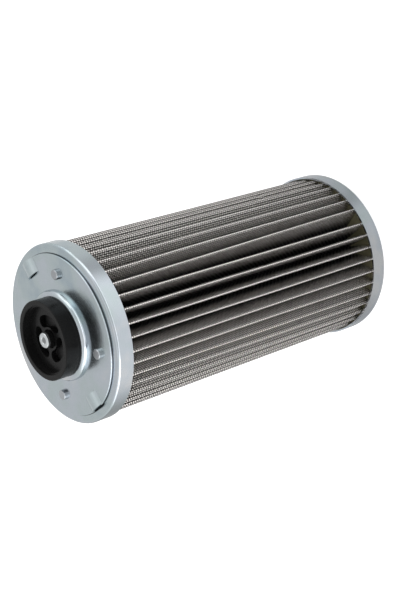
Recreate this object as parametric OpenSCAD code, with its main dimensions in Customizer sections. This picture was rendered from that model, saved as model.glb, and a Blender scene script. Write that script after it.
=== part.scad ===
// Return-line hydraulic filter element, standing on its outlet end cap.
// Origin at the middle of the outlet cap's outer face, +Z towards the bypass valve.
// All sizes are in millimetres.

/* [End caps] */
// Outer diameter of both end caps
cap_d = 96; // [94:0.5:110]
// Thickness of the end cap sheet
cap_sheet = 1.0; // [0.8:0.1:1.2]
// Outer bend radius between a cap's face and its skirt
cap_bend = 1.4; // [1.3:0.1:2.5]
// Height of the outlet cap, face to skirt edge
outlet_skirt = 9.6; // [8.5:0.1:12]
// Height of the valve cap, face to skirt edge
valve_skirt = 9.0; // [8.5:0.1:12]
// Free length of the pleats between the two skirts
open_length = 175.2; // [120:0.1:260]

/* [Pleats] */
// Number of pleats
pleats = 40; // [36:1:42]
// Clearance between the pleat tips and the caps' skirts
tip_gap = 0.6; // [0.4:0.1:2]
// Clearance between the pleat roots and the support tube
root_gap = 0.5; // [0.3:0.1:1]
// Direction of the first pleat, from +X towards +Y
pleat_turn = 4.8; // [0:0.1:9]
// Largest sideways wander of a pleat tip, as an angle
pleat_wander = 0.5; // [0:0.1:1]
// Inner radius of a fold
fold_r = 0.05; // [0.05:0.05:0.15]
// Thickness of the outer wire mesh
outer_mesh_t = 0.3; // [0.25:0.05:0.4]
// Thickness of the filter medium
media_t = 0.3; // [0.2:0.05:0.4]
// Thickness of the inner wire mesh
inner_mesh_t = 0.25; // [0.2:0.05:0.3]
// Clearance between the layers, and between the pleats and the resin
layer_gap = 0.05; // [0.02:0.01:0.1]
// Distance from a cap's inner face to the ends of the pleats
pleat_standoff = 2.0; // [1.5:0.1:3]

/* [Pleat seam] */
// Length of a leg of the seam clip
clip_leg = 4; // [3:0.5:4.5]
// Clearance between the seam clip and each side of the fold it holds
clip_play = 0.4; // [0.35:0.05:0.6]
// Thickness of the seam clip's sheet
clip_sheet = 0.4; // [0.3:0.05:0.5]
// Distance from the seam clip's ends to the skirts
clip_inset = 3; // [1:0.5:10]

/* [Potting] */
// Depth of resin in the outlet cap
outlet_resin = 5.2; // [4:0.1:7]
// Depth of resin in the valve cap
valve_resin = 5.0; // [4:0.1:7]

/* [Support tube] */
// Outer diameter of the support tube
tube_d = 54; // [52:0.5:56]
// Wall of the support tube
tube_wall = 0.8; // [0.6:0.1:1]
// Diameter of a hole in the tube
tube_hole_d = 6; // [4:0.5:7]
// Holes in one ring
tube_holes = 12; // [8:1:14]
// Rings of holes
tube_rings = 15; // [8:1:18]
// Solid length at each end of the tube
tube_solid_end = 16; // [12:1:20]
// End clearance of the tube between the caps
tube_play = 0.1; // [0.05:0.05:0.3]

/* [Outlet] */
// Inside diameter of the drawn collar in the outlet cap
collar_d = 38; // [37:0.5:39.5]
// Height of the collar, from the cap's outer face
collar_height = 9; // [8:0.5:12]
// Width of the collar's inturned end
collar_lip = 2; // [1.5:0.1:2.5]
// Wall of the outlet seal
seal_wall = 3; // [2.6:0.1:3.6]
// Height of the outlet seal
seal_height = 7; // [5:0.5:7.5]
// Chamfer at the mouth of the outlet seal
seal_chamfer = 1.2; // [0.8:0.1:1.5]
// Clearance between the seal and the collar's inturned end
seal_play = 0.1; // [0.05:0.05:0.3]

/* [Cover plate] */
// Distance from the cap's outer wall to the cover plate's edge
plate_rim = 4.9; // [3:0.1:6]
// Thickness of the cover plate
plate_sheet = 1.2; // [1.1:0.1:1.5]
// Rounding of the cover plate's edge
plate_edge = 0.4; // [0.2:0.1:0.6]
// Rise of the drawn neck over the plate
neck_rise = 3.0; // [2.4:0.1:3.2]
// Width of the valve body's flange inside the neck
flange_w = 1.5; // [0.8:0.1:1.8]
// Bend radius of the neck's shoulder
neck_bend = 2.4; // [2:0.1:2.8]
// Clearance between the neck and the valve body's ring
neck_play = 0.1; // [0.05:0.05:0.3]

/* [Bail loops] */
// Direction of the first bail loop
loop_turn = 113.5; // [110:0.5:120]
// Turn from the first loop to the second
loop_apart = 185; // [180:1:188]
// Width of a loop across the plate's radius
loop_width = 11.6; // [9:0.2:12]
// Length of a loop from the plate's edge inwards
loop_length = 8.3; // [6:0.1:9]
// Distance from the plate's edge to a loop's open end
loop_setback = 0.2; // [0.1:0.05:0.3]
// Rise of a loop over the plate
loop_rise = 2.2; // [2:0.1:2.8]
// Thickness of a loop, thinned by the draw
loop_sheet = 1.0; // [0.9:0.1:1.1]
// Width of the slit that lances a loop's inner end
loop_slit = 0.4; // [0.2:0.1:0.6]

/* [Rivets] */
// Number of rivets
rivets = 4; // [4]
// Direction of the first rivet
rivet_turn = -15; // [-20:1:-10]
// Distance from the foot of the neck to the middle of a rivet
rivet_offset = 9.0; // [6:0.1:10]
// Diameter of a rivet's head
rivet_head_d = 5.4; // [4.6:0.1:6]
// Height of a rivet's head
rivet_head_h = 1.9; // [1.2:0.1:2.2]
// Rounding of the edge of a rivet's head
rivet_edge = 0.5; // [0.3:0.1:0.8]
// Diameter of a rivet's shank
rivet_d = 3.2; // [2.8:0.1:3.6]
// Clearance of a rivet in its hole
rivet_play = 0.05; // [0.02:0.01:0.1]
// Diameter of a rivet's closed tail
rivet_tail_d = 5; // [4.4:0.1:5.4]
// Height of a rivet's closed tail
rivet_tail_h = 1.2; // [0.8:0.1:1.4]

/* [Valve body] */
// Outer diameter of the valve body's ring
ring_d = 42.4; // [41.6:0.1:43]
// Wall of the ring at its front
ring_wall = 2.9; // [2.4:0.1:3.4]
// Chamfer on the ring's front edges
ring_chamfer = 0.3; // [0.2:0.1:0.5]
// Depth of the waist under the ring, where it passes the neck
waist_depth = 0.4; // [0.2:0.1:0.6]
// Height of the ring over the neck
ring_proud = 8.2; // [6:0.1:10]
// Depth from the ring's front to the floor
recess_depth = 4.4; // [4:0.1:5]
// Thickness of the floor
floor_t = 2.8; // [2.2:0.1:3]
// Clearance between the flange and the neck's wall
flange_play = 0.3; // [0.1:0.05:0.5]
// Thickness of the gasket under the flange
gasket_t = 0.7; // [0.5:0.1:1]
// Clearance of the valve body in the cap's hole
tail_play = 0.3; // [0.1:0.05:0.5]
// Inset of the valve body's tail from the ring
tail_inset = 1.2; // [0.8:0.1:1.6]
// Wall of the valve body's tail
tail_wall = 1.5; // [1.2:0.1:1.8]
// Distance that the tail stands into the core
tail_proud = 1.5; // [1:0.1:3]
// Depth of the step in the ring's bore
step_depth = 1.4; // [0.8:0.1:2]
// Width of the step in the ring's bore
step_width = 0.7; // [0.4:0.1:1]
// Diameter of the boss that carries the stem
boss_d = 9.0; // [8.4:0.1:9.4]
// Height of the boss over the floor
boss_rise = 2.6; // [2:0.1:3]
// Width of the groove round the boss
boss_groove_w = 0.6; // [0.4:0.1:0.8]
// Depth of the groove round the boss
boss_groove_h = 1.0; // [0.6:0.1:1.4]
// Outer diameter of the flow openings
flow_d = 25.2; // [24:0.1:26]
// Inner diameter of the flow openings
flow_hub_d = 12.4; // [12:0.1:13]
// Width of a spoke at its narrowest
spoke_width = 1.9; // [1.6:0.1:3]
// Number of spokes
spokes = 3; // [3:1:4]
// Direction of the first spoke
spoke_turn = 13; // [0:1:20]
// Distance from the flow openings to the middle of the seat bead
seat_inset = 1.4; // [1:0.1:1.8]
// Width of the seat bead
seat_width = 1.2; // [0.8:0.1:1.6]
// Height of the seat bead
seat_height = 1.0; // [0.8:0.1:1.4]

/* [Bypass valve] */
// Diameter of the stem
stem_d = 4; // [3.6:0.1:4.4]
// Diameter of the stem's head
stem_head_d = 8; // [7.6:0.1:8.6]
// Height of the stem's head
stem_head_h = 1.1; // [0.9:0.1:1.4]
// Diameter of the dimple in the stem's head
dimple_d = 4.2; // [3:0.1:4.6]
// Depth of the dimple in the stem's head
dimple_h = 0.3; // [0.2:0.1:0.6]
// Radial clearance of the valve disc on the stem
stem_play = 0.08; // [0.05:0.01:0.1]
// Clearance between the valve disc and the valve body's tail
disc_play = 2; // [1.4:0.1:2.6]
// Thickness of the valve disc's sheet
disc_sheet = 1.2; // [1:0.1:1.5]
// Wall of the valve disc's sleeve
sleeve_wall = 1.0; // [0.8:0.1:1.4]
// Length of the valve disc's sleeve behind the disc
sleeve_length = 5; // [4:0.5:6]
// Thickness of the seal on the valve disc
valve_seal_t = 1.2; // [1:0.1:1.6]
// Gap left between the seat bead and the seal
seat_gap = 0.05; // [0.02:0.01:0.1]

/* [Valve spring] */
// Mean diameter of the spring
spring_d = 16; // [14:0.2:18]
// Wire diameter of the spring
spring_wire = 1.4; // [1.2:0.1:1.6]
// Length of the fitted spring
spring_length = 20; // [18:0.5:24]
// Active turns of the spring
spring_turns = 4.5; // [4:0.5:5]
// Gap between the spring's ends and its seats
spring_play = 0.02; // [0.01:0.01:0.05]

/* [Spring retainer] */
// Thickness of the retainer cup's sheet
retainer_sheet = 1.2; // [1:0.1:1.4]
// Height of the retainer cup's rim
retainer_rim = 2.4; // [2:0.1:3.4]
// Clearance between the spring and the retainer's rim
retainer_play = 0.4; // [0.2:0.1:0.6]
// Outer diameter of the retaining ring
circlip_d = 8.6; // [8:0.1:9]
// Thickness of the retaining ring
circlip_t = 0.8; // [0.7:0.1:1]
// Depth of the retaining ring's groove
groove_depth = 0.5; // [0.4:0.05:0.6]
// Clearance of the retaining ring in its groove
groove_play = 0.05; // [0.03:0.01:0.1]
// Length of the stem beyond its groove
stem_end = 1.6; // [1.2:0.1:2]

/* [Hidden] */
$fn = 96;
eps = 0.01;
cut = 1;

// Levels along the axis
front_face = outlet_skirt + open_length + valve_skirt;
plate_top = front_face + plate_sheet;
neck_top = plate_top + neck_rise;
ring_front = neck_top + ring_proud;
floor_top = ring_front - recess_depth;
floor_under = floor_top - floor_t;
seat_level = floor_under - seat_height;
boss_top = floor_top + boss_rise;
tail_end = front_face - cap_sheet - tail_proud;
seal_top = seat_level - seat_gap;
disc_top = seal_top - valve_seal_t;
disc_under = disc_top - disc_sheet;
retainer_top = disc_under - spring_length;
retainer_under = retainer_top - retainer_sheet;
groove_bottom = retainer_under - circlip_t - 2 * groove_play;
stem_bottom = groove_bottom - stem_end;

// Radii
cap_r = cap_d / 2;
cap_inner_r = cap_r - cap_sheet;
tube_r = tube_d / 2;
tip_r = cap_inner_r - tip_gap;
collar_r = collar_d / 2;
outlet_bore_r = collar_r - seal_wall;
plate_r = cap_r - plate_rim;
loop_end_r = plate_r - loop_setback;
loop_inner_r = plate_r - loop_length;
ring_r = ring_d / 2;
ring_bore_r = ring_r - ring_wall;
waist_r = ring_r - waist_depth;
tail_r = ring_r - tail_inset;
tail_bore_r = tail_r - tail_wall;
valve_hole_r = tail_r + tail_play;
neck_bore_r = ring_r + neck_play;
flange_r = ring_r + flange_w;
neck_inner_r = flange_r + flange_play;
neck_r = neck_inner_r + plate_sheet;
rivet_mid_r = neck_r + rivet_offset;
seat_r = flow_d / 2 + seat_inset;
disc_r = tail_bore_r - disc_play;
spring_r = spring_d / 2;
sleeve_bore_r = stem_d / 2 + stem_play;
sleeve_r = sleeve_bore_r + sleeve_wall;
retainer_r = spring_r + spring_wire / 2 + retainer_play + retainer_sheet;
arch_r = (loop_width * loop_width / 4 + loop_rise * loop_rise) / (2 * loop_rise);

// Pleat pack, outer surface first
stack = [outer_mesh_t, media_t, inner_mesh_t];
stack_t = outer_mesh_t + media_t + inner_mesh_t + 2 * layer_gap;
fold_mid_r = fold_r + stack_t / 2 + layer_gap;
fold_outer_r = fold_mid_r + stack_t / 2;
tip_centre_r = tip_r - fold_outer_r;
root_centre_r = tube_r + root_gap + fold_outer_r;
pleat_bottom = cap_sheet + pleat_standoff;
pleat_top = front_face - cap_sheet - pleat_standoff;
tip_steps = 5;
root_steps = 3;

// Points on half of a flow opening's arc, and round its ends
arc_steps = 8;
lobe_steps = 10;

// Spring
spring_sides = 8;
spring_segments = 24;
closed_turns = 1;

function polar(r, a) = [r * cos(a), r * sin(a)];
function direction(v) = atan2(v[1], v[0]);
function turn_between(a, b) = ((a - b + 900) % 360) - 180;
function mix(a, b, t) = a + (b - a) * t;

// Directions of the pleat tips and of the roots between them
function wander(i) = pleat_wander * sin(i * 137.5) * cos(i * 61);
function tip_angle(i) = pleat_turn + i * 360 / pleats + wander(i % pleats);
function root_angle(i) = pleat_turn + (i + 0.5) * 360 / pleats;
function tip_centre(i) = polar(tip_centre_r, tip_angle(i));
function root_centre(i) = polar(root_centre_r, root_angle(i));

// Outward direction of the flank between tip i and root j, on one side of the tip
function flank_lean(i, j) =
    acos(2 * fold_mid_r / norm(root_centre(j) - tip_centre(i)));
function flank_out(i, j, side) =
    direction(root_centre(j) - tip_centre(i)) - side * flank_lean(i, j);

// Points of one fold, at offset d outwards from the middle of the blanket
function tip_arc(i, d) =
    let (from = turn_between(flank_out(i, i - 1, -1), tip_angle(i)))
    let (to = turn_between(flank_out(i, i, 1), tip_angle(i)))
    [for (s = [0:tip_steps])
        tip_centre(i) + polar(fold_mid_r + d, tip_angle(i) + mix(from, to, s / tip_steps))];
function root_arc(i, d) =
    let (from = turn_between(flank_out(i, i, 1), root_angle(i)))
    let (to = turn_between(flank_out(i + 1, i, -1), root_angle(i)))
    [for (s = [0:root_steps])
        root_centre(i) - polar(fold_mid_r - d, root_angle(i) + mix(from, to, s / root_steps))];
function pleat_line(d) =
    [for (i = [0:pleats - 1]) each concat(tip_arc(i, d), root_arc(i, d))];

// Depth of a layer's outer face below the blanket's outer face
function layer_depth(k) = k == 0 ? 0 : layer_depth(k - 1) + stack[k - 1] + layer_gap;

// Cross-section of the blanket between two offsets from its middle
module blanket_section(outer, inner) {
    rim = pleat_line(outer);
    hole = pleat_line(inner);
    first = [for (i = [0:len(rim) - 1]) i];
    second = [for (i = [0:len(hole) - 1]) len(rim) + i];
    polygon(points = concat(rim, hole), paths = [first, second]);
}

// One layer of the pleated blanket
module layer(k) {
    outer = stack_t / 2 - layer_depth(k);
    translate([0, 0, pleat_bottom])
        linear_extrude(pleat_top - pleat_bottom)
            blanket_section(outer, outer - stack[k]);
}

// Half section of a plain disc with its lower outer corner rounded
module rounded_corner(r, h, bend) {
    difference() {
        square([r, h]);
        translate([r - bend, 0])
            difference() {
                square([bend + eps, bend]);
                translate([0, bend]) circle(bend);
            }
    }
}

// Half section of a cap's dish, face down
module dish_section(height, hole_r) {
    difference() {
        rounded_corner(cap_r, height, cap_bend);
        translate([0, cap_sheet])
            rounded_corner(cap_inner_r, height, cap_bend - cap_sheet);
        translate([-eps, -cut]) square([hole_r + eps, height]);
    }
}

// Half section of the resin that fills a dish from its inner face
module resin_section(depth) {
    intersection() {
        rounded_corner(cap_inner_r, depth, cap_bend - cap_sheet);
        translate([tube_r, 0]) square([cap_r - tube_r, depth]);
    }
}

module ring_shape(outer_r, inner_r, h) {
    difference() {
        cylinder(r = outer_r, h = h);
        translate([0, 0, -cut]) cylinder(r = inner_r, h = h + 2 * cut);
    }
}

module at_rivets() {
    for (i = [0:rivets - 1])
        rotate(rivet_turn + i * 360 / rivets) translate([rivet_mid_r, 0, 0]) children();
}

// Collar drawn inwards from the outlet cap, ending in an inturned stop
module collar_section() {
    wall_r = collar_r + cap_sheet;
    translate([collar_r, 0]) square([cap_sheet, collar_height]);
    translate([collar_r - collar_lip, collar_height - cap_sheet])
        square([wall_r - collar_r + collar_lip, cap_sheet]);
    // Rounded foot on the outer face
    translate([wall_r, 0]) square([cap_bend - cap_sheet, cap_sheet]);
}

module rear_cap() {
    color("lightsteelblue")
        rotate_extrude() {
            dish_section(outlet_skirt, collar_r + cap_sheet);
            collar_section();
        }
}

module front_cap() {
    color("lightsteelblue")
        difference() {
            translate([0, 0, front_face]) mirror([0, 0, 1])
                rotate_extrude() dish_section(valve_skirt, valve_hole_r);
            at_rivets()
                translate([0, 0, front_face - cap_sheet - cut])
                    cylinder(d = rivet_d + 2 * rivet_play, h = cap_sheet + 2 * cut, $fn = 32);
        }
}

// Slot in the resin that holds the end of the pleated blanket
module blanket_slot(bottom, height) {
    translate([0, 0, bottom])
        linear_extrude(height)
            blanket_section(stack_t / 2 + layer_gap, -stack_t / 2 - layer_gap);
}

module rear_potting() {
    color("darkkhaki")
        difference() {
            translate([0, 0, cap_sheet]) rotate_extrude() resin_section(outlet_resin);
            blanket_slot(pleat_bottom - layer_gap, outlet_resin);
        }
}

module front_potting() {
    resin_top = front_face - cap_sheet;
    color("darkkhaki")
        difference() {
            translate([0, 0, resin_top]) mirror([0, 0, 1])
                rotate_extrude() resin_section(valve_resin);
            blanket_slot(resin_top - valve_resin - cut,
                valve_resin - pleat_standoff + cut + layer_gap);
            at_rivets()
                translate([0, 0, resin_top - rivet_tail_h - rivet_play])
                    cylinder(d = rivet_tail_d + 2 * rivet_play, h = rivet_tail_h + cut, $fn = 32);
        }
}

module outer_mesh() {
    color("dimgray") layer(0);
}

module filter_media() {
    color("ivory") layer(1);
}

module inner_mesh() {
    color("gray") layer(2);
}

// Folded strip that closes the blanket at the pleat opposite the first
module seam_clip() {
    length = open_length - 2 * clip_inset;
    crown_r = tip_r + layer_gap;
    inner_w = 2 * (fold_outer_r + clip_play);
    outer_w = inner_w + 2 * clip_sheet;
    color("silver")
        rotate(tip_angle(pleats / 2))
            translate([0, 0, outlet_skirt + clip_inset])
                difference() {
                    translate([crown_r + clip_sheet - clip_leg, -outer_w / 2, 0])
                        cube([clip_leg, outer_w, length]);
                    translate([crown_r - clip_leg - cut, -inner_w / 2, -cut])
                        cube([clip_leg + cut, inner_w, length + 2 * cut]);
                }
}

module support_tube() {
    bottom = cap_sheet + tube_play;
    length = front_face - 2 * bottom;
    first_ring = bottom + tube_solid_end;
    pitch = (length - 2 * tube_solid_end) / (tube_rings - 1);
    color("silver")
        difference() {
            translate([0, 0, bottom]) ring_shape(tube_r, tube_r - tube_wall, length);
            for (ring = [0:tube_rings - 1])
                for (i = [0:tube_holes - 1])
                    rotate((i + (ring % 2) / 2) * 360 / tube_holes)
                        translate([tube_r - tube_wall - cut, 0, first_ring + ring * pitch])
                            rotate([0, 90, 0])
                                cylinder(d = tube_hole_d, h = tube_wall + 2 * cut, $fn = 24);
        }
}

module outlet_seal() {
    stop = collar_height - cap_sheet - seal_play;
    color("black")
        translate([0, 0, stop - seal_height])
            rotate_extrude()
                polygon([
                    [outlet_bore_r + seal_chamfer, 0],
                    [collar_r, 0],
                    [collar_r, seal_height],
                    [outlet_bore_r, seal_height],
                    [outlet_bore_r, seal_chamfer]
                ]);
}

// Half section of the cover plate with its drawn neck
module plate_section() {
    inner_bend = neck_bend - plate_sheet;
    translate([neck_inner_r, 0])
        rounded_shoulder(plate_r - neck_inner_r, plate_sheet, plate_edge);
    difference() {
        translate([neck_bore_r, 0])
            rounded_shoulder(neck_r - neck_bore_r, plate_sheet + neck_rise, neck_bend);
        translate([0, -eps])
            rounded_shoulder(neck_inner_r, neck_rise + eps, inner_bend);
    }
}

// Rectangle from the origin with its upper outer corner rounded
module rounded_shoulder(w, h, bend) {
    difference() {
        square([w, h]);
        translate([w - bend, h - bend])
            difference() {
                square([bend + eps, bend + eps]);
                circle(bend);
            }
    }
}

// Arched strip drawn up from the plate, lanced at its inner end and open at the plate's edge
module loop_arch() {
    intersection() {
        translate([loop_inner_r, 0, plate_sheet + loop_rise - arch_r])
            rotate([90, 0, 90])
                linear_extrude(loop_length)
                    intersection() {
                        circle(arch_r);
                        translate([-loop_width, arch_r - loop_rise - plate_sheet / 2])
                            square([2 * loop_width, 2 * loop_width]);
                    }
        cylinder(r = loop_end_r, h = 2 * loop_width);
    }
}

// Way for a bail wire under a loop, from the slit at its inner end to the plate's edge
module loop_window() {
    translate([loop_inner_r - loop_slit, 0, plate_sheet + loop_rise - arch_r])
        rotate([90, 0, 90])
            cylinder(r = arch_r - loop_sheet, h = loop_length + loop_slit + cut);
}

module at_loops() {
    for (turn = [0, loop_apart])
        rotate(loop_turn + turn) children();
}

module cover_plate() {
    color("lightsteelblue")
        translate([0, 0, front_face]) {
            difference() {
                union() {
                    rotate_extrude() plate_section();
                    at_loops() loop_arch();
                }
                at_rivets()
                    translate([0, 0, -cut])
                        cylinder(d = rivet_d + 2 * rivet_play, h = plate_sheet + 2 * cut, $fn = 32);
                at_loops() loop_window();
            }
        }
}

// One rivet from the cover plate's top, with a flat head of rounded edge
module rivet() {
    grip = plate_sheet + cap_sheet;
    translate([0, 0, -grip - rivet_tail_h])
        cylinder(d = rivet_tail_d, h = rivet_tail_h, $fn = 32);
    translate([0, 0, -grip]) cylinder(d = rivet_d, h = grip, $fn = 32);
    rotate_extrude($fn = 48)
        rounded_shoulder(rivet_head_d / 2, rivet_head_h, rivet_edge);
}

module cover_rivets() {
    color("gainsboro")
        translate([0, 0, plate_top]) at_rivets() rivet();
}

module valve_gasket() {
    color("darkslategray")
        translate([0, 0, front_face]) ring_shape(flange_r, valve_hole_r, gasket_t);
}

// Wedge that chamfers the ring's front edge at a radius, on its outer or inner side
module corner_cut(r, level, side) {
    polygon([
        [r - side * ring_chamfer, level],
        [r + side * ring_chamfer, level - 2 * ring_chamfer],
        [r + side * ring_chamfer, level + cut],
        [r - side * ring_chamfer, level + cut]
    ]);
}

// Half section of the valve body without its flow openings
module valve_body_section() {
    flange_bottom = front_face + gasket_t;
    flange_top = neck_top - plate_sheet;
    corner = neck_bend - plate_sheet;
    boss_r = boss_d / 2;
    difference() {
        union() {
            translate([0, neck_top]) square([ring_r, ring_front - neck_top]);
            translate([0, flange_bottom]) square([waist_r, ring_front - flange_bottom]);
            translate([0, flange_bottom])
                rounded_shoulder(flange_r, flange_top - flange_bottom, corner);
            translate([0, tail_end]) square([tail_r, floor_under - tail_end]);
        }
        translate([boss_r, floor_top])
            square([ring_bore_r - step_width - boss_r, recess_depth + cut]);
        translate([boss_r, ring_front - step_depth])
            square([ring_bore_r - boss_r, step_depth + cut]);
        translate([-cut, boss_top]) square([boss_r + 2 * cut, recess_depth + cut]);
        translate([boss_r, floor_top - boss_groove_h])
            square([boss_groove_w, boss_groove_h + cut]);
        translate([-cut, tail_end - cut])
            square([tail_bore_r + cut, floor_under - tail_end + cut]);
        corner_cut(ring_r, ring_front, 1);
        corner_cut(ring_bore_r, ring_front, -1);
    }
    translate([seat_r - seat_width / 2, seat_level])
        square([seat_width, seat_height + eps]);
}

// Outline of one flow opening between two spokes, with full round ends
module flow_opening() {
    outer_r = flow_d / 2;
    inner_r = flow_hub_d / 2;
    mid_r = (outer_r + inner_r) / 2;
    lobe_r = (outer_r - inner_r) / 2;
    half = 180 / spokes - asin((spoke_width / 2 + lobe_r) / mid_r);
    outer_arc = [for (s = [-arc_steps:arc_steps]) polar(outer_r, half * s / arc_steps)];
    inner_arc = [for (s = [-arc_steps:arc_steps]) polar(inner_r, -half * s / arc_steps)];
    first_lobe = [for (s = [1:lobe_steps - 1])
        polar(mid_r, half) + polar(lobe_r, half + 180 * s / lobe_steps)];
    last_lobe = [for (s = [1:lobe_steps - 1])
        polar(mid_r, -half) + polar(lobe_r, 180 - half + 180 * s / lobe_steps)];
    polygon(concat(outer_arc, first_lobe, inner_arc, last_lobe));
}

module valve_body() {
    color("#2b2b2d")
        difference() {
            rotate_extrude() valve_body_section();
            translate([0, 0, floor_under - cut])
                for (i = [0:spokes - 1])
                    rotate(spoke_turn + (i + 0.5) * 360 / spokes)
                        linear_extrude(floor_t + 2 * cut) flow_opening();
            translate([0, 0, tail_end]) cylinder(d = stem_d, h = ring_front, $fn = 48);
        }
}

module valve_stem() {
    head_top = boss_top + stem_head_h;
    edge = stem_head_h / 4;
    color("gainsboro")
        difference() {
            union() {
                translate([0, 0, boss_top])
                    cylinder(d = stem_head_d, h = stem_head_h - edge, $fn = 64);
                translate([0, 0, head_top - edge])
                    cylinder(d1 = stem_head_d, d2 = stem_head_d - 2 * edge, h = edge, $fn = 64);
                translate([0, 0, stem_bottom])
                    cylinder(d = stem_d, h = head_top - stem_bottom - edge, $fn = 48);
            }
            translate([0, 0, head_top - dimple_h])
                cylinder(d1 = dimple_d - 2 * dimple_h, d2 = dimple_d, h = dimple_h + eps, $fn = 48);
            translate([0, 0, groove_bottom])
                ring_shape(stem_d, stem_d / 2 - groove_depth, circlip_t + 2 * groove_play);
        }
}

module valve_disc() {
    color("silver")
        difference() {
            union() {
                translate([0, 0, disc_under]) cylinder(r = disc_r, h = disc_sheet);
                translate([0, 0, disc_under - sleeve_length])
                    cylinder(r = sleeve_r, h = sleeve_length + disc_sheet + valve_seal_t, $fn = 64);
            }
            translate([0, 0, disc_under - sleeve_length - cut])
                cylinder(r = sleeve_bore_r, h = 2 * spring_length, $fn = 64);
        }
}

module valve_seal() {
    color("black")
        translate([0, 0, disc_top])
            ring_shape(disc_r, sleeve_r + stem_play, valve_seal_t);
}

// Height of the wire's centre along the spring: closed turns, open coils, closed turns
function coil_rise(t) =
    let (wire_level = spring_wire + layer_gap)
    let (open_rise = spring_length - 2 * spring_play - spring_wire - 2 * closed_turns * wire_level)
    t < closed_turns ? t * wire_level
    : t < closed_turns + spring_turns
        ? closed_turns * wire_level + (t - closed_turns) * open_rise / spring_turns
        : closed_turns * wire_level + open_rise + (t - closed_turns - spring_turns) * wire_level;

module valve_spring() {
    total = spring_turns + 2 * closed_turns;
    steps = round(total * spring_segments);
    points = [for (s = [0:steps])
        let (t = total * s / steps)
        for (k = [0:spring_sides - 1])
            let (a = 360 * (k + 0.5) / spring_sides)
            let (r = spring_r + spring_wire / 2 * cos(a))
            [r * cos(360 * t), r * sin(360 * t), coil_rise(t) + spring_wire / 2 * sin(a)]];
    sides = [for (s = [0:steps - 1])
        for (k = [0:spring_sides - 1])
            let (a = s * spring_sides + k)
            let (b = s * spring_sides + (k + 1) % spring_sides)
            [a, b, b + spring_sides, a + spring_sides]];
    first_end = [for (k = [0:spring_sides - 1]) spring_sides - 1 - k];
    last_end = [for (k = [0:spring_sides - 1]) steps * spring_sides + k];
    color("gray")
        translate([0, 0, retainer_top + spring_play + spring_wire / 2])
            polyhedron(points = points, faces = concat(sides, [first_end, last_end]));
}

module spring_retainer() {
    color("silver")
        translate([0, 0, retainer_under])
            difference() {
                cylinder(r = retainer_r, h = retainer_sheet + retainer_rim);
                translate([0, 0, retainer_sheet])
                    cylinder(r = retainer_r - retainer_sheet, h = retainer_rim + cut);
                translate([0, 0, -cut])
                    cylinder(r = stem_d / 2 + stem_play, h = retainer_sheet + 2 * cut, $fn = 48);
            }
}

// Split ring that sits in the stem's groove and carries the retainer
module stem_clip() {
    bore_r = stem_d / 2 - groove_depth + groove_play;
    mouth = 2 * bore_r * 0.8;
    color("darkgray")
        translate([0, 0, groove_bottom + groove_play])
            difference() {
                cylinder(d = circlip_d, h = circlip_t, $fn = 48);
                translate([0, 0, -cut]) cylinder(r = bore_r, h = circlip_t + 2 * cut, $fn = 48);
                translate([0, -mouth / 2, -cut])
                    cube([circlip_d, mouth, circlip_t + 2 * cut]);
            }
}

rear_cap();
front_cap();
rear_potting();
front_potting();
outer_mesh();
filter_media();
inner_mesh();
seam_clip();
support_tube();
outlet_seal();
cover_plate();
cover_rivets();
valve_gasket();
valve_body();
valve_stem();
valve_disc();
valve_seal();
valve_spring();
spring_retainer();
stem_clip();
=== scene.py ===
"""Looks of the hydraulic filter element: pleats, resin, spring, finishes, floor, light and camera."""

import math
from functools import cache

import bpy
from mathutils import Matrix, Vector


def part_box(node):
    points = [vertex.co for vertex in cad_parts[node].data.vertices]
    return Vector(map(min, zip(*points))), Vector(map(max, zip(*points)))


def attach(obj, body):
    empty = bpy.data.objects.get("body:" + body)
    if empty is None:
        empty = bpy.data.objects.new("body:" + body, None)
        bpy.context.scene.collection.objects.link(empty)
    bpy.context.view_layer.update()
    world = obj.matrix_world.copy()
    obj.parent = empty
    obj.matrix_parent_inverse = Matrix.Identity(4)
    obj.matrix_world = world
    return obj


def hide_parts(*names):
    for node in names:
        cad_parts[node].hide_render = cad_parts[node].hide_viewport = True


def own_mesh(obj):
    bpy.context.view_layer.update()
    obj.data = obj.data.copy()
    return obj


MM = 0.001

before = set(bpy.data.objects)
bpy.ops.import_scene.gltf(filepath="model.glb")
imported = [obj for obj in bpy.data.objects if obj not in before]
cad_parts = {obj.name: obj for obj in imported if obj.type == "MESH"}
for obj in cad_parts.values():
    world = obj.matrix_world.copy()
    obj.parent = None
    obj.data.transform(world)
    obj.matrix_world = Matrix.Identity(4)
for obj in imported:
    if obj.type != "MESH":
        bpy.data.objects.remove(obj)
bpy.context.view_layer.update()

# Camera, fitted to the photograph's two end caps. Its lens and sensor are in millimetres, and the
# distances that it sees in metres
CAMERA_PLACE = Vector((536.4, 99.2, 516.9)) * MM
CAMERA_TARGET = Vector((-0.3, -4.6, 101.6)) * MM
CAMERA_ROLL = math.radians(107.7)
CAMERA_LENS = 73.5
CAMERA_SENSOR = 36.0
CAMERA_CLIP = (0.01, 20)

# Direction in the floor plane from which the camera looks
CAMERA_SIDE = CAMERA_PLACE.xy.normalized()

# Sizes that the parts in model.glb give
CAP_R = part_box("front_cap")[1][0]
TUBE_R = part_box("support_tube")[1][0]
VALVE_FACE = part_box("front_cap")[1][2]
STEM_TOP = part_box("valve_stem")[1][2]

# Cover plate, set back from the cap's edge as in the part's source
PLATE_RIM = 4.9 * MM
PLATE_R = CAP_R - PLATE_RIM

# Pleated blanket, the same sizes as in the part's source, with angles in degrees
PLEATS = 40
CAP_SHEET = 1.0 * MM
TIP_GAP = 0.6 * MM
ROOT_GAP = 0.5 * MM
FOLD_R = 0.05 * MM
LAYER_GAP = 0.05 * MM
OUTER_MESH = 0.3 * MM
MEDIUM = 0.3 * MM
INNER_MESH = 0.25 * MM
PLEAT_TURN = 4.8
PLEAT_WANDER = 0.5
WANDER_STEP = 137.5
WANDER_SWELL = 61

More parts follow.
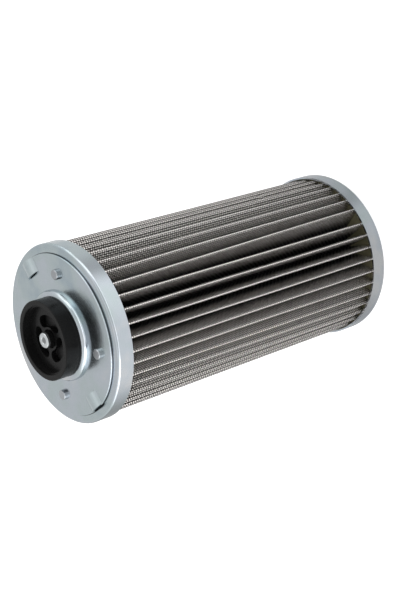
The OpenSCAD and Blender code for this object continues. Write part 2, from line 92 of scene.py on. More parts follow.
# How much of a fold's radius is left at its pressed tip
TIP_SHARE = 0.7

# Thickness of the three layers, and middle line of their folds
STACK_T = OUTER_MESH + MEDIUM + INNER_MESH + 2 * LAYER_GAP
FOLD_MID_R = FOLD_R + STACK_T / 2 + LAYER_GAP
FOLD_OUTER_R = FOLD_MID_R + STACK_T / 2
TIP_R = CAP_R - CAP_SHEET - TIP_GAP
TIP_CENTRE_R = TIP_R - TIP_SHARE * FOLD_OUTER_R
ROOT_CENTRE_R = TUBE_R + ROOT_GAP + FOLD_OUTER_R

# Steps round a fold's tip, round its root and along a flank, and rows of points from cap to cap
TIP_STEPS = 8
ROOT_STEPS = 4
FLANK_STEPS = 4
ROWS = 28

# At the outlet cap the pleats part between two of them: place, lean above and below, and reach
PARTING = 2.5
LEAN_ABOVE = 3.4
LEAN_BELOW = -0.8
PARTING_REACH = 5

# At the valve cap a group of pleats is pushed over: its middle, lean and reach
PUSHED = -5.5
PUSH_LEAN = 2.8
PUSH_REACH = 3.5

# Settled wave of a tip along its length: degrees, waves from cap to cap, how much pleats differ in
# them, and how that and the wave's start change from pleat to pleat
WAVE_LEAN = 0.2
WAVE_COUNT = 0.8
WAVE_SPREAD = 0.45
WAVE_CHANGE = 2.1
WAVE_START = 0.37

# Number of pleats on each side of the seam that its folded strip keeps from settling freely
SEAM_REACH = 4

# A small dent in one tip: which pleat, where along the blanket, half its length, depth and rows
DENT_PLEAT = 8
DENT_SHARE = 0.265
DENT_REACH = 0.012
DENT_DEPTH = 0.9 * MM
DENT_ROWS = 2

# Resin: gap to its walls, bevel at the cap's bend, creep up the walls, height of the swells in its
# top and how many go round, and steps round the cap
RESIN_GAP = 0.02 * MM
RESIN_BEVEL = 0.9 * MM
CREEP_RISE = 0.5 * MM
CREEP_REACH = 1.2 * MM
KNEE_RISE = 0.15 * MM
KNEE_REACH = 0.4 * MM
RESIN_SWELL = 0.22 * MM
SLOW_SWELLS = 3
FAST_SWELLS = 7
RESIN_STEPS = 96

# Bypass spring, the same sizes as in the part's source, and its steps round the wire and a turn
SPRING_R = 8 * MM
SPRING_WIRE = 1.4 * MM
SPRING_TURNS = 4.5
CLOSED_TURNS = 1
CLOSED_RISE = SPRING_WIRE + LAYER_GAP
SPRING_SIDES = 12
SPRING_STEPS = 36

# A fade is written as where it starts and ends, and its value there. A band is written as where it
# starts, where it is full, where it starts to fall and where it ends

# Painted contact shadow and dirt in the joint at the foot of the cover plate's edge: band round the
# edge, fade with height, and shade
JOINT_BAND = (PLATE_R - 0.1 * MM, PLATE_R, PLATE_R + 0.2 * MM, PLATE_R + 0.45 * MM)
JOINT_FADE = (VALVE_FACE + 0.4 * MM, VALVE_FACE + 0.7 * MM, 1.0, 0.0)
JOINT_SHADE = 0.7

# Painted shade in the dimple of the stem's head: fade from its middle, fade with height, and shade
DIMPLE_FADE = (1.4 * MM, 2.1 * MM, 1.0, 0.0)
HEAD_FADE = (STEM_TOP - 0.8 * MM, STEM_TOP - 0.4 * MM, 0.0, 1.0)
DIMPLE_SHADE = 0.6

# Zinc plate: tints over the drift, range of roughness, and drawn rings: their pitch, how much they
# drift, their height beside the mottle's, and the depth of both
ZINC_TINTS = [
    (0.3, (0.39, 0.46, 0.50)),
    (0.42, (0.465, 0.53, 0.545)),
    (0.55, (0.5, 0.545, 0.59)),
    (0.7, (0.585, 0.6, 0.615)),
]
ZINC_ROUGHNESS = (0.14, 0.27)
RING_PITCH = 5.5 * MM
RING_DRIFT = 3
RING_SHARE = 0.35
RING_DEPTH = 0.012 * MM

# Plain finishes: noise scale and strength of the drift in colour, the smears in roughness and the
# grain, the drift at which a colour is darkest and lightest, and the grain's depth on plated steel
DRIFT_SCALE = 60
DRIFT_SPREAD = 0.15
DRIFT_DARKEST = 0.3
DRIFT_LIGHTEST = 0.7
SMEAR_SCALE = 200
SMEAR_SPREAD = 0.06
GRAIN_SCALE = 600
GRAIN_DEPTH = 0.008 * MM
PLATED_DEPTH = 0.003 * MM

# Weave: wire pitch, a wire's width as a share of it, how much roundness the wires keep, the least
# square of the height at a wire's side, and how lit a wire is painted where it dives
WIRE_PITCH = 1.39 * MM
WIRE_WIDTH = 0.68
FLATTENING = 0.52
LEAST_RISE = 0.02
DIVING_LIGHT = 0.1

# Painted light and shade of the wires: colours of a gap in shade, a wire's shaded side and its lit
# top, and the painted light at which each shows
SHADED_GAP_COLOUR = (0.02, 0.019, 0.018)
SHADED_SIDE_COLOUR = (0.485, 0.465, 0.45)
WIRE_COLOUR = (0.97, 0.93, 0.9)
WEAVE_LIGHT_AND_SHADE = [(0.12, SHADED_GAP_COLOUR), (0.26, SHADED_SIDE_COLOUR), (0.4, WIRE_COLOUR)]
WEAVE_ROUGHNESS = 0.3

# Fades with depth below the tips: painted light on the flanks, painted shade on the flanks, painted
# shade in the valleys
FLANK_LIGHT = (1.2 * MM, 3.5 * MM, 0.0, 0.16)
FLANK_SHADE = (0.4 * MM, 1.6 * MM, 1.0, 0.85)
VALLEY_SHADE = (5 * MM, 13 * MM, 1.0, 0.17)

# Floor: half its side in metres, colour, and glow to the camera. It lies a hair below the cap's
# face, so that the two faces don't share a plane
FLOOR_HALF = 3.0
FLOOR_Z = -0.05 * MM
FLOOR_COLOUR = (0.8, 0.8, 0.8, 1)
FLOOR_GLOW = 0.55

# Tone of the floor as metal mirrors it: middle direction in degrees, level, tone at the back, how it
# changes between two directions, and the distances in metres where near ends and far begins
CARD_MIDDLE = 11
CARD_LEVEL = 0.87
CARD_BACK = -0.2
CARD_CHANGES = [
    (-180, -125, -0.34),
    (-125, -60, 0.5),
    (-5, 40, 0.2),
    (50, 78, -0.53),
    (80, 105, 0.17),
]
CARD_NEAR = 0.05
CARD_FAR = 0.3

# What the card does near and far: how much further its directions turn, its contrast and strength
CARD_TURN = (0.9, 0.0)
CARD_CONTRAST = (0.5, 1.0)
CARD_STRENGTH = (0.8, 1.26)

# World, by how far a direction lies towards the camera's side and how far up, both from -1 to 1:
# its tone beyond the filter and before it, a bright strip at each side, and a low window
WORLD_BEYOND = (-0.8, -0.4, 0.78, 0.92)
WORLD_BEFORE = (0.0, 0.6, 1.0, 0.85)
STRIP_BAND = (-0.4, -0.22, -0.12, 0.06)
STRIP_FADE = (0.5, 0.85, 1.0, 0.15)
WINDOW_FADE = (0.1, 0.5, 0.0, 1.35)
WINDOW_BAND = (0.0, 0.15, 0.25, 0.5)

# Soft round lamps: place and width in metres, and power in watts
LAMPS = {
    "key": ((0.1, 1.0, 0.8), 0.6, 1.2),
    "side": ((0.6, -0.9, 0.5), 1.0, 4),
}
LAMP_TARGET = (0, 0, 0.1)


def make_camera():
    """Places the camera at the photograph's angle, rolled as the photograph is."""
    data = bpy.data.cameras.new("camera")
    data.lens = CAMERA_LENS
    data.sensor_width = CAMERA_SENSOR
    data.clip_start, data.clip_end = CAMERA_CLIP
    camera = bpy.data.objects.new("camera", data)
    bpy.context.collection.objects.link(camera)
    ahead = (CAMERA_TARGET - CAMERA_PLACE).normalized()
    level_up = (Vector((0, 0, 1)) - ahead * ahead.z).normalized()
    level_right = ahead.cross(level_up)
    up = level_up * math.cos(CAMERA_ROLL) + level_right * math.sin(CAMERA_ROLL)
    right = ahead.cross(up)
    turn = Matrix((right, up, -ahead)).transposed()
    camera.matrix_world = Matrix.Translation(CAMERA_PLACE) @ turn.to_4x4()
    bpy.context.scene.camera = camera


# Numbers and colours inside materials

class Number:
    """One number in a material, with arithmetic that builds Math nodes."""

    def __init__(self, tree, socket):
        self.tree = tree
        self.socket = socket

    def math(self, operation, *others):
        """This number and the others through one Math node."""
        node = self.tree.nodes.new("ShaderNodeMath")
        node.operation = operation
        for slot, value in enumerate((self, *others)):
            if isinstance(value, Number):
                self.tree.links.new(value.socket, node.inputs[slot])
            else:
                node.inputs[slot].default_value = value
        return Number(self.tree, node.outputs[0])

    def __add__(self, other):
        return self.math("ADD", other)

    def __sub__(self, other):
        return self.math("SUBTRACT", other)

    def __mul__(self, other):
        return self.math("MULTIPLY", other)

    def __radd__(self, other):
        return self + other

    def __rsub__(self, other):
        return self * -1 + other

    def fade(self, start, end, low, high):
        """Goes smoothly from low to high while this number goes from start to end."""
        node = self.tree.nodes.new("ShaderNodeMapRange")
        node.interpolation_type = "SMOOTHSTEP"
        node.inputs["From Min"].default_value = start
        node.inputs["From Max"].default_value = end
        node.inputs["To Min"].default_value = low
        node.inputs["To Max"].default_value = high
        self.tree.links.new(self.socket, node.inputs["Value"])
        return Number(self.tree, node.outputs["Result"])

    def band(self, start, full, falling, end):
        """Is 1 while this number is between full and falling, and 0 before start and after end."""
        return self.fade(start, full, 0.0, 1.0) * self.fade(falling, end, 1.0, 0.0)

    def between(self, low, high):
        """Maps this number from 0..1 to low..high."""
        return self * (high - low) + low

    def choose(self, when_zero, when_one):
        """Mixes two numbers, this number being the share of the second."""
        return when_zero + (when_one - when_zero) * self


def new_material(name):
    """A material with only an output and a Principled shader."""
    mat = bpy.data.materials.new(name)
    mat.use_nodes = True
    tree = mat.node_tree
    return mat, tree, tree.nodes["Principled BSDF"]


def place_of(tree):
    """Coordinates in the object's own frame, in metres."""
    return tree.nodes.new("ShaderNodeTexCoord").outputs["Object"]


def sides_of(tree, vector):
    """The three numbers of a vector."""
    parts = tree.nodes.new("ShaderNodeSeparateXYZ")
    tree.links.new(vector, parts.inputs[0])
    return [Number(tree, parts.outputs[name]) for name in "XYZ"]


def height_of(tree, vector):
    """How far up a place or a direction lies."""
    return sides_of(tree, vector)[2]


def radius_of(tree, place):
    """Distance from the filter's axis."""
    x, y = sides_of(tree, place)[:2]
    return (x * x + y * y).math("SQRT")


def toward_camera(tree, direction):
    """How far a direction points towards the camera's side."""
    x, y = sides_of(tree, direction)[:2]
    return x * CAMERA_SIDE.x + y * CAMERA_SIDE.y


def length_of(tree, vector):
    """Length of a vector."""
    node = tree.nodes.new("ShaderNodeVectorMath")
    node.operation = "LENGTH"
    tree.links.new(vector, node.inputs[0])
    return Number(tree, node.outputs["Value"])


def scaled(tree, colour, share):
    """A colour times a number."""
    node = tree.nodes.new("ShaderNodeVectorMath")
    node.operation = "SCALE"
    tree.links.new(colour, node.inputs[0])
    tree.links.new(share.socket, node.inputs["Scale"])
    return node.outputs[0]


def noise(tree, place, scale, detail=3.0, roughness=0.5):
    """Noise from 0 to 1 over a place."""
    node = tree.nodes.new("ShaderNodeTexNoise")
    node.inputs["Scale"].default_value = scale
    node.inputs["Detail"].default_value = detail
    node.inputs["Roughness"].default_value = roughness
    tree.links.new(place, node.inputs["Vector"])
    return Number(tree, node.outputs["Fac"])


def ramp(tree, value, stops):
    """Colour ramp over a value, from (value, colour) stops."""
    node = tree.nodes.new("ShaderNodeValToRGB")
    band = node.color_ramp
    while len(band.elements) < len(stops):
        band.elements.new(0.5)
    for element, (where, colour) in zip(band.elements, stops):
        element.position = where
        element.color = (*colour, 1)
    tree.links.new(value.socket, node.inputs["Fac"])
    return node.outputs["Color"]


def bump(tree, height, distance):
    """Normal of a surface with relief, where distance is the relief's depth."""
    node = tree.nodes.new("ShaderNodeBump")
    node.inputs["Strength"].default_value = 1.0
    node.inputs["Distance"].default_value = distance
    tree.links.new(height.socket, node.inputs["Height"])
    return node.outputs["Normal"]


def ray_share(tree, kind):
    """1 for a ray of one kind, and 0 for the others."""
    return Number(tree, tree.nodes.new("ShaderNodeLightPath").outputs[kind])


# Materials, each made once

def joint_shade(tree, place):
    """Share of light left by the painted contact shadow and dirt in the narrow joint at the foot of
    the cover plate's edge.
    """
    edge = radius_of(tree, place).band(*JOINT_BAND)
    foot = height_of(tree, place).fade(*JOINT_FADE)
    return 1 - edge * foot * JOINT_SHADE


def dimple_shade(tree, place):
    """Share of light left by the painted shade in the dimple in the head of the valve's stem."""
    dimple = radius_of(tree, place).fade(*DIMPLE_FADE)
    head = height_of(tree, place).fade(*HEAD_FADE)
    return 1 - dimple * head * DIMPLE_SHADE


@cache
def zinc_sheet():
    """Bright zinc plate: cool grey with faint tints, drawn in soft rings round the axis, with a
    painted contact shadow and dirt at the cover plate's foot.
    """
    mat, tree, shader = new_material("zinc_sheet")
    place = place_of(tree)
    drift = noise(tree, place, scale=32, roughness=0.6)
    smear = noise(tree, place, scale=70, detail=4, roughness=0.6)
    mottle = noise(tree, place, scale=160, detail=2)
    colour = scaled(tree, ramp(tree, drift, ZINC_TINTS), joint_shade(tree, place))
    turns = radius_of(tree, place) * (2 * math.pi / RING_PITCH) + drift * RING_DRIFT
    relief = turns.math("SINE") * RING_SHARE + mottle
    tree.links.new(colour, shader.inputs["Base Color"])
    tree.links.new(smear.between(*ZINC_ROUGHNESS).socket, shader.inputs["Roughness"])
    tree.links.new(bump(tree, relief, RING_DEPTH), shader.inputs["Normal"])
    shader.inputs["Metallic"].default_value = 1
    return mat


def plain(name, colour, roughness, metallic=0.0, depth=GRAIN_DEPTH, gloss=0.5, shade=None):
    """A material of one base colour with a little drift, smears and grain, and a painted shade if
    given.
    """
    mat, tree, shader = new_material(name)
    place = place_of(tree)
    dark = [part * (1 - DRIFT_SPREAD) for part in colour]
    light = [part * (1 + DRIFT_SPREAD) for part in colour]
    drift = noise(tree, place, DRIFT_SCALE)
    tint = ramp(tree, drift, [(DRIFT_DARKEST, dark), (DRIFT_LIGHTEST, light)])
    if shade:
        tint = scaled(tree, tint, shade(tree, place))
    smear = noise(tree, place, SMEAR_SCALE)
    rough = smear.between(roughness - SMEAR_SPREAD, roughness + SMEAR_SPREAD)
    grain = noise(tree, place, GRAIN_SCALE)
    tree.links.new(tint, shader.inputs["Base Color"])
    tree.links.new(rough.socket, shader.inputs["Roughness"])
    tree.links.new(bump(tree, grain, depth), shader.inputs["Normal"])
    shader.inputs["Metallic"].default_value = metallic
    shader.inputs["Specular IOR Level"].default_value = gloss
    return mat


@cache
def fine_cloth():
    """Fine wire cloth of the filter medium."""
    return plain("fine_cloth", (0.14, 0.133, 0.12), roughness=0.5, metallic=1.0)


@cache
def resin():
    """Cast olive resin."""
    return plain("resin", (0.2, 0.188, 0.115), roughness=0.3)


@cache
def black_nylon():
    """Moulded black nylon of the valve's body."""
    return plain("black_nylon", (0.006, 0.006, 0.006), roughness=0.27, gloss=0.12)


@cache
def black_rubber():
    """Black rubber of the seals and the gasket."""
    return plain("black_rubber", (0.012, 0.012, 0.012), roughness=0.6)


@cache
def plated_steel():
    """Plated steel of the rivets and the valve's disc."""
    return plain("plated_steel", (0.42, 0.44, 0.46), roughness=0.34, metallic=1.0, depth=PLATED_DEPTH)


@cache
def stem_steel():
    """Plated steel of the valve's stem, with painted shade in the dimple of its head."""
    return plain("stem_steel", (0.62, 0.65, 0.66), roughness=0.3, metallic=1.0, depth=PLATED_DEPTH,
                 shade=dimple_shade)


@cache
def tube_steel():
    """Zinc-plated steel of the perforated tube, the seam's strip and the spring's cup."""
    return plain("tube_steel", (0.55, 0.56, 0.57), roughness=0.35, metallic=1.0)


@cache
def spring_steel():
    """Spring wire, and the split ring that holds the spring's cup."""
    return plain("spring_steel", (0.3, 0.3, 0.31), roughness=0.3, metallic=1.0)


# The woven wire mesh

def strand(side, run, phase):
    """Offset from a wire's middle, whether inside the wire, its wave and the wave's slope."""
    offset = (side.math("FRACT") - 0.5) * (2 / WIRE_WIDTH)
    inside = offset.math("ABSOLUTE").math("LESS_THAN", 1)
    turn = (run + side.math("FLOOR") + phase) * math.pi
    return offset, inside, turn.math("COSINE"), turn.math("SINE")


def upper_wire(across, along):
    """What lies on top in a plain weave: whether a wire, its height and wave, and its lean."""
    # The two sets of wires wave half a turn apart, so that one dives where the other rises
    offset_1, inside_1, wave_1, slope_1 = strand(across, along, -0.5)
    offset_2, inside_2, wave_2, slope_2 = strand(along, across, 0.5)
    over = wave_1.math("GREATER_THAN", 0)
    # A wire of the first set is hidden only inside one of the second set that it dives under
    first = inside_1 * (1 - inside_2 * (1 - over))
    second = inside_2 * (1 - first)
    solid = first + second
    offset = second.choose(offset_1, offset_2)
    wave = second.choose(wave_1, wave_2)
    slope = second.choose(slope_1, slope_2) * (WIRE_WIDTH * math.pi / 2)
    height = (1 - offset * offset).math("MAXIMUM", LEAST_RISE).math("SQRT")
    lean = [second.choose(offset, slope), second.choose(slope, offset)]
    return solid, height, wave, [part * solid * FLATTENING for part in lean]


def woven_normal(tree, sides):
    """Normal of the wires, from its three sides in the map that counts wires."""
    facing = tree.nodes.new("ShaderNodeCombineXYZ")
    for slot, side in enumerate(sides):
        # A normal map holds -1 to 1 as 0 to 1
        tree.links.new((side * 0.5 + 0.5).socket, facing.inputs[slot])
    turned = tree.nodes.new("ShaderNodeNormalMap")
    turned.uv_map = "weave"
    tree.links.new(facing.outputs[0], turned.inputs["Color"])
    return turned.outputs["Normal"]


@cache
def woven_steel():
    """Plain weave of round wires, with painted light and shade on the wires and painted shade in the
    valleys. The map named weave counts wire pitches.
    """
    mat, tree, shader = new_material("woven_steel")
    counted = tree.nodes.new("ShaderNodeUVMap")
    counted.uv_map = "weave"
    across, along = sides_of(tree, counted.outputs["UV"])[:2]
    solid, height, wave, lean = upper_wire(across, along)
    up = solid.choose(1, height)
    depth = TIP_R - radius_of(tree, place_of(tree))
    # Painted light: a wire's top and wave, and the flanks below the tips, set how lit its colour is
    lit = solid * height * wave.between(DIVING_LIGHT, 1.0) + depth.fade(*FLANK_LIGHT)
    # Painted shade that deepens below the tips and into the valleys
    depth_shade = depth.fade(*FLANK_SHADE) * depth.fade(*VALLEY_SHADE)
    colour = scaled(tree, ramp(tree, lit, WEAVE_LIGHT_AND_SHADE), depth_shade)
    tree.links.new(colour, shader.inputs["Base Color"])
    tree.links.new(woven_normal(tree, [*lean, up]), shader.inputs["Normal"])
    shader.inputs["Metallic"].default_value = 1
    shader.inputs["Roughness"].default_value = WEAVE_ROUGHNESS
    return mat


# Meshes

def polar(radius, degrees):
    """A point in the floor plane, from its distance and direction."""
    angle = math.radians(degrees)
    return Vector((radius * math.cos(angle), radius * math.sin(angle)))


def ring_faces(rings, size, closed):
    """Faces between neighbouring rings of size points, back to the first ring where closed."""
    faces = []
    for ring in range(rings if closed else rings - 1):
        here = ring * size
        there = (ring + 1) % rings * size
        for point in range(size):
            following = (point + 1) % size
            faces.append((here + point, there + point, there + following, here + following))
    return faces


def make_piece(name, verts, faces, mat):
    """A smooth piece of one material."""
    mesh = bpy.data.meshes.new(name)
    mesh.from_pydata(verts, [], faces)
    mesh.shade_smooth()
    mesh.materials.append(mat)
    piece = bpy.data.objects.new(name, mesh)
    bpy.context.collection.objects.link(piece)
    return piece


# Places of the pleats

def wander(pleat):
    """Sideways wander of a pleat's tip in degrees, the same rule as in the part's source."""
    step = math.sin(math.radians(pleat * WANDER_STEP))
    return PLEAT_WANDER * step * math.cos(math.radians(pleat * WANDER_SWELL))


def outlet_lean(place):
    """Degrees that a tip leans at the outlet cap, where the pleats part."""
    fade = max(0, 1 - abs(place - PARTING) / PARTING_REACH)
    return (LEAN_ABOVE if place > PARTING else LEAN_BELOW) * fade


def valve_lean(place):
    """Degrees that a tip leans at the valve cap, where a group of pleats is pushed over."""
    return PUSH_LEAN * max(0, 1 - ((place - PUSHED) / PUSH_REACH) ** 2)


def settled_wave(pleat, share):
    """Degrees that a tip has settled sideways, at a share of the way from cap to cap."""
    held = math.sin(math.pi * share)
    free = min(1, abs(pleat - PLEATS / 2) / SEAM_REACH)
    waves = WAVE_COUNT + WAVE_SPREAD * math.sin(pleat * WAVE_CHANGE)
    return WAVE_LEAN * held * free * math.sin(2 * math.pi * (share * waves + pleat * WAVE_START))


def tip_angle(pleat, share):
    """Direction of a tip at a share of the way from the outlet cap to the valve cap."""
    place = pleat if pleat < PLEATS / 2 else pleat - PLEATS
    even = PLEAT_TURN + pleat * 360 / PLEATS + wander(pleat)
    outlet = outlet_lean(place)
    return even + outlet + (valve_lean(place) - outlet) * share + settled_wave(pleat, share)


def blanket_angles(share):
    """Directions of all tips, the first one repeated, and of the roots between them."""
    tips = [tip_angle(pleat, share) for pleat in range(PLEATS)]
    tips.append(tips[0] + 360)
    roots = []
    for pleat in range(PLEATS):
        even = PLEAT_TURN + (pleat + 0.5) * 360 / PLEATS
        middle = (tips[pleat] + tips[pleat + 1]) / 2
        roots.append((even + middle) / 2)
    return tips, roots


def blanket_shares():
    """Shares of the length at which the blanket has points, closer together at the dent."""
    even = [row / ROWS for row in range(ROWS + 1)]
    dent = [DENT_SHARE + DENT_REACH * row / DENT_ROWS for row in range(-DENT_ROWS, DENT_ROWS + 1)]
    return sorted(even + dent)


def dent_depth(pleat, share):
    """How far a tip is pushed in at a share of the length."""
    if pleat != DENT_PLEAT:
        return 0
    return DENT_DEPTH * max(0, 1 - ((share - DENT_SHARE) / DENT_REACH) ** 2)


# Line round the pleated blanket

def flank_way(tip, root, side):
    """Direction from a fold's middle to where it meets the flank between a tip and a root.

    Side is 1 for the flank after the tip and -1 for the flank before it.
    """
    gap = polar(ROOT_CENTRE_R, root) - polar(TIP_CENTRE_R, tip)
    lean = math.acos((1 + TIP_SHARE) * FOLD_MID_R / gap.length)
    return math.degrees(math.atan2(gap.y, gap.x) - side * lean)


def fold_arc(middle, radius, direction, start, end, steps):
    """Points round a fold that faces a direction, between the directions of its two flanks."""
    first = (start - direction + 180) % 360 - 180
    last = (end - direction + 180) % 360 - 180
    turns = [first + (last - first) * step / steps for step in range(steps + 1)]
    return [middle + polar(radius, direction + turn) for turn in turns]


def flank_points(start, end):
    """Points of a flank between its two folds, without its ends."""
    return [start.lerp(end, step / FLANK_STEPS) for step in range(1, FLANK_STEPS)]


def blanket_line(offset, share):
    """Points once round the blanket, at an offset outwards from its middle."""
    tips, roots = blanket_angles(share)
    tip_bend = TIP_SHARE * (FOLD_MID_R + offset)
    root_bend = offset - FOLD_MID_R
    line = []
    for pleat in range(PLEATS):
        tip, following, root = tips[pleat], tips[pleat + 1], roots[pleat]
        before = flank_way(tip, roots[pleat - 1], -1)
        after = flank_way(tip, root, 1)
        back = flank_way(following, root, -1)
        tip_middle = polar(TIP_CENTRE_R - dent_depth(pleat, share), tip)
        tip_arc = fold_arc(tip_middle, tip_bend, tip, before, after, TIP_STEPS)
        root_arc = fold_arc(polar(ROOT_CENTRE_R, root), root_bend, root, after, back, ROOT_STEPS)
        next_start = polar(TIP_CENTRE_R, following) + polar(tip_bend, back)
        line += tip_arc + flank_points(tip_arc[-1], root_arc[0])
        line += root_arc + flank_points(root_arc[-1], next_start)
    return line


def wire_counts(line):
    """Counts lengthwise wires round the blanket, a whole number of them from crest to crest."""
    points = len(line)
    pleat_points = points // PLEATS
    crest = TIP_STEPS // 2
    run = [0.0]
    for point in range(points):
        run.append(run[-1] + (line[(point + 1) % points] - line[point]).length)
    whole = run[-1]
    wires = round(whole / PLEATS / WIRE_PITCH)

    def length_at(point):
        return run[point % points] + whole * (point // points)

    counts = []
    for point in range(points + 1):
        pleat = (point - crest) // pleat_points
        start = length_at(pleat * pleat_points + crest)
        end = length_at((pleat + 1) * pleat_points + crest)
        passed = (length_at(point) - start) / (end - start)
        # The half puts a wire's middle on each crest
        counts.append((pleat + 1 + passed) * wires + 0.5)
    return counts


# Pieces

def sheet_quads(rows, points):
    """Corners, as (face, row, point), of the quads on the outer and the inner face of a sheet."""
    for face in (0, 1):
        for row in range(rows):
            for point in range(points):
                low = [(face, row, point), (face, row, point + 1)]
                high = [(face, row + 1, point + 1), (face, row + 1, point)]
                quad = low + high
                yield quad[::-1] if face else quad


def rim_quads(rows, points):
    """Corners of the quads that close a sheet at its first and its last row."""
    for row in (0, rows):
        for point in range(points):
            quad = [(0, row, point), (1, row, point), (1, row, point + 1), (0, row, point + 1)]
            yield quad[::-1] if row else quad


def weave_map(quads, rims, around, along):
    """Wires counted at each corner of a sheet's quads, and across the sheet at its rims."""
    counted = []
    for quad in quads:
        for face, row, point in quad:
            counted += [around[face][point], along[row]]
    for rim in rims:
        for face, _, point in rim:
            counted += [around[0][point], face / 2]
    return counted


def blanket_layer(name, outer, inner, mat):
    """One closed pleated sheet between two offsets from the blanket's middle."""
    low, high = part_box(name)
    shares = blanket_shares()
    heights = [(high[2] - low[2]) * share for share in shares]
    sheets = [[blanket_line(offset, share) for share in shares] for offset in (outer, inner)]
    verts = []
    for sheet in sheets:
        for line, height in zip(sheet, heights):
            verts += [(point.x, point.y, low[2] + height) for point in line]
    rows = len(heights) - 1
    points = len(sheets[0][0])
    quads = list(sheet_quads(rows, points))
    rims = list(rim_quads(rows, points))

    def corner(face, row, point):
        return (face * (rows + 1) + row) * points + point % points

    faces = [[corner(*place) for place in quad] for quad in quads + rims]
    around = [wire_counts(sheet[0]) for sheet in sheets]
    along = [height / WIRE_PITCH for height in heights]
    piece = make_piece(name + "_pleats", verts, faces, mat)
    weave = piece.data.uv_layers.new(name="weave")
    weave.data.foreach_set("uv", weave_map(quads, rims, around, along))
    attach(piece, "element")
    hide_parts(name)


def make_pleats():
    """The blanket's three layers, from the outside inwards, with a gap between them."""
    layers = [
        ("outer_mesh", OUTER_MESH, woven_steel),
        ("filter_media", MEDIUM, fine_cloth),
        ("inner_mesh", INNER_MESH, woven_steel),
    ]
    outer = STACK_T / 2
    for name, thickness, material in layers:
        blanket_layer(name, outer, outer - thickness, material())
        outer -= thickness + LAYER_GAP


def resin_section(outer, depth):
    """Half section of a cast, as radius and height: its foot, and its top with creep at both walls."""
    at_tube = TUBE_R + RESIN_GAP
    at_skirt = outer - RESIN_GAP
    foot = [(at_tube, 0), (outer - RESIN_BEVEL, 0), (at_skirt, RESIN_BEVEL)]
    top = [
        (at_skirt, depth + CREEP_RISE),
        (outer - KNEE_REACH, depth + KNEE_RISE),
        (outer - CREEP_REACH, depth),
        (TUBE_R + CREEP_REACH, depth),
        (at_tube, depth + CREEP_RISE),
    ]
    return foot, top


def swell(angle, spot):
    """How far the resin's top stands up at an angle round the cap and a spot of its section."""
    return RESIN_SWELL * math.sin(SLOW_SWELLS * angle + spot) * math.sin(FAST_SWELLS * angle)


def cast_resin(name, facing):
    """The resin of one cap, which faces up for 1 and down for -1."""
    low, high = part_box(name)
    base = low[2] if facing > 0 else high[2]
    foot, top = resin_section(high[0], high[2] - low[2])
    verts = []
    for step in range(RESIN_STEPS):
        angle = 2 * math.pi * step / RESIN_STEPS
        for spot, (radius, height) in enumerate(foot + top):
            if spot >= len(foot):
                height += swell(angle, spot)
            verts.append((radius * math.cos(angle), radius * math.sin(angle), base + facing * height))
    faces = ring_faces(RESIN_STEPS, len(foot + top), closed=True)
    piece = make_piece(name + "_cast", verts, [face[::facing] for face in faces], resin())
    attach(piece, "element")
    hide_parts(name)


def make_resin():
    """Cast resin in both caps, a little higher where it creeps up the skirt and the tube."""
    cast_resin("rear_potting", 1)
    cast_resin("front_potting", -1)


def coil_rise(turn, open_rise):
    """Height of the spring's wire after some turns, with closed turns at both ends."""
    opened = min(max(turn - CLOSED_TURNS, 0), SPRING_TURNS)
    return opened * open_rise / SPRING_TURNS + (turn - opened) * CLOSED_RISE


def make_spring():
    """The bypass spring, a smooth helix."""
    low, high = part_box("valve_spring")
    length = high[2] - low[2]
    turns = SPRING_TURNS + 2 * CLOSED_TURNS
    open_rise = length - SPRING_WIRE - 2 * CLOSED_TURNS * CLOSED_RISE
    wire_r = SPRING_WIRE / 2
    steps = round(turns * SPRING_STEPS)
    verts = []
    for step in range(steps + 1):
        turn = turns * step / steps
        middle = low[2] + wire_r + coil_rise(turn, open_rise)
        for side in range(SPRING_SIDES):
            angle = 2 * math.pi * (side + 0.5) / SPRING_SIDES
            spot = polar(SPRING_R + wire_r * math.cos(angle), 360 * turn)
            verts.append((spot.x, spot.y, middle + wire_r * math.sin(angle)))
    faces = ring_faces(steps + 1, SPRING_SIDES, closed=False)
    faces.append(tuple(range(SPRING_SIDES)))
    faces.append(tuple(len(verts) - 1 - side for side in range(SPRING_SIDES)))
    piece = make_piece("spring_coil", verts, faces, spring_steel())
    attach(piece, "element")
    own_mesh(piece)
    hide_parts("valve_spring")


def dress_cad():
    """Gives each carried-over node its material."""
    looks = {
        "rear_cap": zinc_sheet,
        "front_cap": zinc_sheet,
        "cover_plate": zinc_sheet,
        "seam_clip": tube_steel,
        "support_tube": tube_steel,
        "spring_retainer": tube_steel,
        "outlet_seal": black_rubber,
        "valve_gasket": black_rubber,
        "valve_seal": black_rubber,
        "cover_rivets": plated_steel,
        "valve_disc": plated_steel,
        "valve_stem": stem_steel,
        "valve_body": black_nylon,
        "stem_clip": spring_steel,
    }
    for name, material in looks.items():
        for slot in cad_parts[name].material_slots:
            slot.material = material()


# Floor and light

def card_tone(tree, place):
    """Tone of the floor as metal mirrors it, brightest on the camera's side of the filter."""
    distance = length_of(tree, place)

    def by_distance(near, far):
        return distance.fade(CARD_NEAR, CARD_FAR, near, far)

    x, y = sides_of(tree, place)[:2]
    direction = y.math("ARCTAN2", x).math("DEGREES")
    # A wall mirrors a far place at twice its own angle, and a place at its foot at that angle
    turn = direction + (direction - CARD_MIDDLE) * by_distance(*CARD_TURN)
    changes = [turn.fade(start, end, 0.0, change) for start, end, change in CARD_CHANGES]
    swing = sum(changes, CARD_BACK) * by_distance(*CARD_CONTRAST)
    return (swing + CARD_LEVEL) * by_distance(*CARD_STRENGTH)


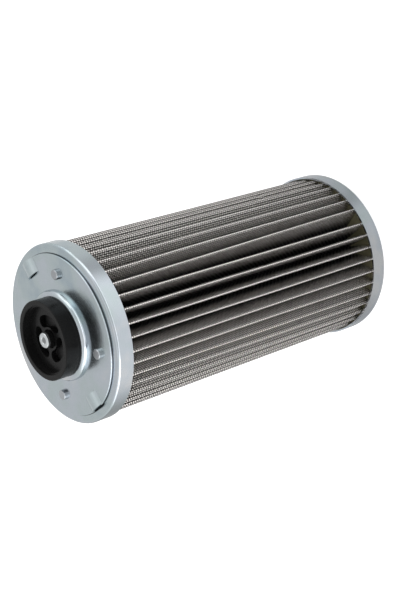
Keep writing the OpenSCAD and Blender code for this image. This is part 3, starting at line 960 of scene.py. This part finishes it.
def floor_material():
    """White with its shadow to the camera, and a toned card to metal."""
    mat = bpy.data.materials.new("floor")
    mat.use_nodes = True
    tree = mat.node_tree
    tree.nodes.clear()
    output = tree.nodes.new("ShaderNodeOutputMaterial")
    diffuse = tree.nodes.new("ShaderNodeBsdfDiffuse")
    glow = tree.nodes.new("ShaderNodeEmission")
    white = tree.nodes.new("ShaderNodeAddShader")
    card = tree.nodes.new("ShaderNodeEmission")
    pick = tree.nodes.new("ShaderNodeMixShader")
    place = tree.nodes.new("ShaderNodeNewGeometry").outputs["Position"]
    diffuse.inputs["Color"].default_value = FLOOR_COLOUR
    tree.links.new((ray_share(tree, "Is Camera Ray") * FLOOR_GLOW).socket, glow.inputs["Strength"])
    tree.links.new(card_tone(tree, place).socket, card.inputs["Strength"])
    tree.links.new(ray_share(tree, "Is Glossy Ray").socket, pick.inputs["Fac"])
    tree.links.new(diffuse.outputs[0], white.inputs[0])
    tree.links.new(glow.outputs[0], white.inputs[1])
    tree.links.new(white.outputs[0], pick.inputs[1])
    tree.links.new(card.outputs[0], pick.inputs[2])
    tree.links.new(pick.outputs[0], output.inputs["Surface"])
    return mat


def make_floor():
    """A wide square floor."""
    mesh = bpy.data.meshes.new("floor")
    half = FLOOR_HALF
    corners = [(-half, -half), (half, -half), (half, half), (-half, half)]
    mesh.from_pydata([(x, y, FLOOR_Z) for x, y in corners], [], [(0, 1, 2, 3)])
    mesh.materials.append(floor_material())
    floor = bpy.data.objects.new("floor", mesh)
    bpy.context.collection.objects.link(floor)


def make_world():
    """A pale world with a bright strip at each side and a low window on the camera's side."""
    world = bpy.data.worlds.new("world")
    bpy.context.scene.world = world
    world.use_nodes = True
    tree = world.node_tree
    background = tree.nodes["Background"]
    direction = tree.nodes.new("ShaderNodeTexCoord").outputs["Generated"]
    way = toward_camera(tree, direction)
    rise = height_of(tree, direction)
    tone = way.fade(*WORLD_BEYOND) * way.fade(*WORLD_BEFORE)
    strip = way.band(*STRIP_BAND) * rise.fade(*STRIP_FADE)
    window = way.fade(*WINDOW_FADE) * rise.band(*WINDOW_BAND)
    strength = ray_share(tree, "Is Camera Ray").choose(tone + strip + window, 1)
    tree.links.new(strength.socket, background.inputs["Strength"])
    background.inputs["Color"].default_value = (1, 1, 1, 1)


def make_lamps():
    """Two soft lamps, one from each side."""
    for name, (place, width, power) in LAMPS.items():
        data = bpy.data.lights.new(name, "AREA")
        data.shape = "DISK"
        data.size = width
        data.energy = power
        lamp = bpy.data.objects.new(name, data)
        bpy.context.collection.objects.link(lamp)
        turn = (Vector(LAMP_TARGET) - Vector(place)).to_track_quat("-Z", "Y")
        lamp.matrix_world = Matrix.Translation(place) @ turn.to_matrix().to_4x4()


make_camera()
make_pleats()
make_resin()
make_spring()
dress_cad()
make_floor()
make_world()
make_lamps()
bpy.context.scene.view_settings.view_transform = "Standard"
